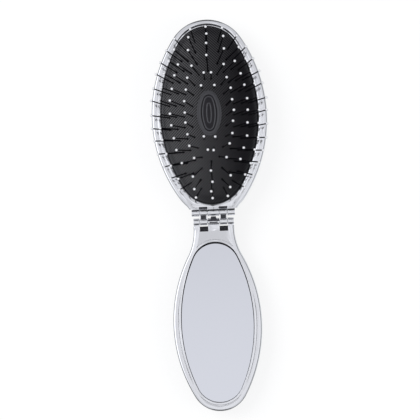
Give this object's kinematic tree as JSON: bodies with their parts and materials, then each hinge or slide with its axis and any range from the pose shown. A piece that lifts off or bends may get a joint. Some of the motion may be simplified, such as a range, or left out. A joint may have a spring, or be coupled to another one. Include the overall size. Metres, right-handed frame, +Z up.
{
  "type": "folding hairbrush with mirror",
  "caption": "Open folding pocket hairbrush: oval brush head with ball-tipped bristles on a domed rubber pad, double-pin hinge, and an oval handle that holds a mirror.",
  "frame": {"origin": "middle of the open brush's length and width, on the surface that it rests on", "axes": "+X right as seen from above with the head away, +Y along the brush towards the head's far end, +Z up towards the bristles"},
  "size_m": [0.0628, 0.2094, 0.0351],
  "materials": {
    "silver_plastic": "silver lacquer, smooth",
    "plated_plastic": "bright plated silver, mirror-like",
    "black_rubber": "satin black with a fine diagonal hatch",
    "black_plastic": "gloss black",
    "bristle_nylon": "black stems with white ball tips",
    "dark_plastic": "matte",
    "steel": "bright pins",
    "mirror": "silvered glass"
  },
  "bodies": {
    "head": {"head_shell": "silver_plastic", "head_frame": "plated_plastic", "pad_clamp_ring": "dark_plastic", "bristle_pad": "black_rubber", "head_pin": "steel"},
    "links": {"link_left": "plated_plastic", "link_right": "plated_plastic"},
    "handle": {"handle_frame": "plated_plastic", "handle_shell": "silver_plastic", "mirror_glass": "mirror", "mirror_backing": "dark_plastic", "handle_pin": "steel"},
    "press_plate": {"press_boss": "black_plastic", "thumb_button": "black_plastic", "bristles_middle": "bristle_nylon"},
    "outer_bristles_1": {"bristles_outer_1": "bristle_nylon"},
    "outer_bristles_2": {"bristles_outer_2": "bristle_nylon"},
    "outer_bristles_3": {"bristles_outer_3": "bristle_nylon"},
    "outer_bristles_4": {"bristles_outer_4": "bristle_nylon"},
    "outer_bristles_5": {"bristles_outer_5": "bristle_nylon"},
    "outer_bristles_6": {"bristles_outer_6": "bristle_nylon"},
    "outer_bristles_7": {"bristles_outer_7": "bristle_nylon"},
    "outer_bristles_8": {"bristles_outer_8": "bristle_nylon"},
    "outer_bristles_9": {"bristles_outer_9": "bristle_nylon"},
    "outer_bristles_10": {"bristles_outer_10": "bristle_nylon"},
    "outer_bristles_11": {"bristles_outer_11": "bristle_nylon"},
    "outer_bristles_12": {"bristles_outer_12": "bristle_nylon"},
    "inner_bristles_1": {"bristles_inner_1": "bristle_nylon"},
    "inner_bristles_2": {"bristles_inner_2": "bristle_nylon"},
    "inner_bristles_3": {"bristles_inner_3": "bristle_nylon"},
    "inner_bristles_4": {"bristles_inner_4": "bristle_nylon"},
    "inner_bristles_5": {"bristles_inner_5": "bristle_nylon"},
    "inner_bristles_6": {"bristles_inner_6": "bristle_nylon"},
    "inner_bristles_7": {"bristles_inner_7": "bristle_nylon"},
    "inner_bristles_8": {"bristles_inner_8": "bristle_nylon"}
  },
  "joints": [
    {"name": "head_hinge", "type": "hinge", "parent": "head", "child": "links", "pos_m": [0, 0.0011, 0.0156], "axis": [-1, 0, 0], "range_deg": [0, 90]},
    {"name": "handle_hinge", "type": "hinge", "parent": "links", "child": "handle", "pos_m": [0, -0.0037, 0.0156], "axis": [-1, 0, 0], "range_deg": [0, 90]},
    {"name": "press_slide", "type": "slide", "parent": "head", "child": "press_plate", "axis": [0, 0, -1], "range_m": [0, 0.018], "deforming": ["bristle_pad"]},
    {"name": "outer_bristles_1_tilt", "type": "hinge", "parent": "head", "child": "outer_bristles_1", "pos_m": [0.02492, 0.02458, 0.0135], "axis": [-0.3637, -0.9315, 0], "range_deg": [0, 56.1]},
    {"name": "outer_bristles_2_tilt", "type": "hinge", "parent": "head", "child": "outer_bristles_2", "pos_m": [0.0303, 0.0535, 0.0135], "axis": [0, -1, 0], "range_deg": [0, 57]},
    {"name": "outer_bristles_3_tilt", "type": "hinge", "parent": "head", "child": "outer_bristles_3", "pos_m": [0.02492, 0.08242, 0.0135], "axis": [0.3637, -0.9315, 0], "range_deg": [0, 56.1]},
    {"name": "outer_bristles_4_tilt", "type": "hinge", "parent": "head", "child": "outer_bristles_4", "pos_m": [0.01362, 0.10122, 0.0135], "axis": [0.7807, -0.6249, 0], "range_deg": [0, 52.7]},
    {"name": "outer_bristles_5_tilt", "type": "hinge", "parent": "head", "child": "outer_bristles_5", "pos_m": [0, 0.1062, 0.0135], "axis": [1, 0, 0], "range_deg": [0, 50]},
    {"name": "outer_bristles_6_tilt", "type": "hinge", "parent": "head", "child": "outer_bristles_6", "pos_m": [-0.01362, 0.10122, 0.0135], "axis": [0.7807, 0.6249, 0], "range_deg": [0, 52.7]},
    {"name": "outer_bristles_7_tilt", "type": "hinge", "parent": "head", "child": "outer_bristles_7", "pos_m": [-0.02492, 0.08242, 0.0135], "axis": [0.3637, 0.9315, 0], "range_deg": [0, 56.1]},
    {"name": "outer_bristles_8_tilt", "type": "hinge", "parent": "head", "child": "outer_bristles_8", "pos_m": [-0.0303, 0.0535, 0.0135], "axis": [0, 1, 0], "range_deg": [0, 57]},
    {"name": "outer_bristles_9_tilt", "type": "hinge", "parent": "head", "child": "outer_bristles_9", "pos_m": [-0.02492, 0.02458, 0.0135], "axis": [-0.3637, 0.9315, 0], "range_deg": [0, 56.1]},
    {"name": "outer_bristles_10_tilt", "type": "hinge", "parent": "head", "child": "outer_bristles_10", "pos_m": [-0.01362, 0.00578, 0.0135], "axis": [-0.7807, 0.6249, 0], "range_deg": [0, 52.7]},
    {"name": "outer_bristles_11_tilt", "type": "hinge", "parent": "head", "child": "outer_bristles_11", "pos_m": [0, 0.0008, 0.0135], "axis": [-1, 0, 0], "range_deg": [0, 50]},
    {"name": "outer_bristles_12_tilt", "type": "hinge", "parent": "head", "child": "outer_bristles_12", "pos_m": [0.01362, 0.00578, 0.0135], "axis": [-0.7807, -0.6249, 0], "range_deg": [0, 52.7]},
    {"name": "inner_bristles_1_tilt", "type": "hinge", "parent": "head", "child": "inner_bristles_1", "pos_m": [0.02713, 0.02372, 0.0135], "axis": [-0.3637, -0.9315, 0], "range_deg": [0, 36]},
    {"name": "inner_bristles_2_tilt", "type": "hinge", "parent": "head", "child": "inner_bristles_2", "pos_m": [0.0338, 0.0535, 0.0135], "axis": [0, -1, 0], "range_deg": [0, 36]},
    {"name": "inner_bristles_3_tilt", "type": "hinge", "parent": "head", "child": "inner_bristles_3", "pos_m": [0.02713, 0.08328, 0.0135], "axis": [0.3637, -0.9315, 0], "range_deg": [0, 36]},
    {"name": "inner_bristles_4_tilt", "type": "hinge", "parent": "head", "child": "inner_bristles_4", "pos_m": [0, 0.1012, 0.0135], "axis": [1, 0, 0], "range_deg": [0, 36]},
    {"name": "inner_bristles_5_tilt", "type": "hinge", "parent": "head", "child": "inner_bristles_5", "pos_m": [-0.02713, 0.08328, 0.0135], "axis": [0.3637, 0.9315, 0], "range_deg": [0, 36]},
    {"name": "inner_bristles_6_tilt", "type": "hinge", "parent": "head", "child": "inner_bristles_6", "pos_m": [-0.0338, 0.0535, 0.0135], "axis": [0, 1, 0], "range_deg": [0, 36]},
    {"name": "inner_bristles_7_tilt", "type": "hinge", "parent": "head", "child": "inner_bristles_7", "pos_m": [-0.02713, 0.02372, 0.0135], "axis": [-0.3637, 0.9315, 0], "range_deg": [0, 36]},
    {"name": "inner_bristles_8_tilt", "type": "hinge", "parent": "head", "child": "inner_bristles_8", "pos_m": [0, 0.0058, 0.0135], "axis": [-1, 0, 0], "range_deg": [0, 36]}
  ],
  "couplings": [
    {"joint": "press_slide", "follows": "handle_hinge", "m_per_rad": 0.011459},
    {"joint": "outer_bristles_1_tilt", "follows": "handle_hinge", "ratio": 0.62333},
    {"joint": "outer_bristles_2_tilt", "follows": "handle_hinge", "ratio": 0.63333},
    {"joint": "outer_bristles_3_tilt", "follows": "handle_hinge", "ratio": 0.62333},
    {"joint": "outer_bristles_4_tilt", "follows": "handle_hinge", "ratio": 0.58556},
    {"joint": "outer_bristles_5_tilt", "follows": "handle_hinge", "ratio": 0.55556},
    {"joint": "outer_bristles_6_tilt", "follows": "handle_hinge", "ratio": 0.58556},
    {"joint": "outer_bristles_7_tilt", "follows": "handle_hinge", "ratio": 0.62333},
    {"joint": "outer_bristles_8_tilt", "follows": "handle_hinge", "ratio": 0.63333},
    {"joint": "outer_bristles_9_tilt", "follows": "handle_hinge", "ratio": 0.62333},
    {"joint": "outer_bristles_10_tilt", "follows": "handle_hinge", "ratio": 0.58556},
    {"joint": "outer_bristles_11_tilt", "follows": "handle_hinge", "ratio": 0.55556},
    {"joint": "outer_bristles_12_tilt", "follows": "handle_hinge", "ratio": 0.58556},
    {"joint": "inner_bristles_1_tilt", "follows": "handle_hinge", "ratio": 0.4},
    {"joint": "inner_bristles_2_tilt", "follows": "handle_hinge", "ratio": 0.4},
    {"joint": "inner_bristles_3_tilt", "follows": "handle_hinge", "ratio": 0.4},
    {"joint": "inner_bristles_4_tilt", "follows": "handle_hinge", "ratio": 0.4},
    {"joint": "inner_bristles_5_tilt", "follows": "handle_hinge", "ratio": 0.4},
    {"joint": "inner_bristles_6_tilt", "follows": "handle_hinge", "ratio": 0.4},
    {"joint": "inner_bristles_7_tilt", "follows": "handle_hinge", "ratio": 0.4},
    {"joint": "inner_bristles_8_tilt", "follows": "handle_hinge", "ratio": 0.4}
  ]
}
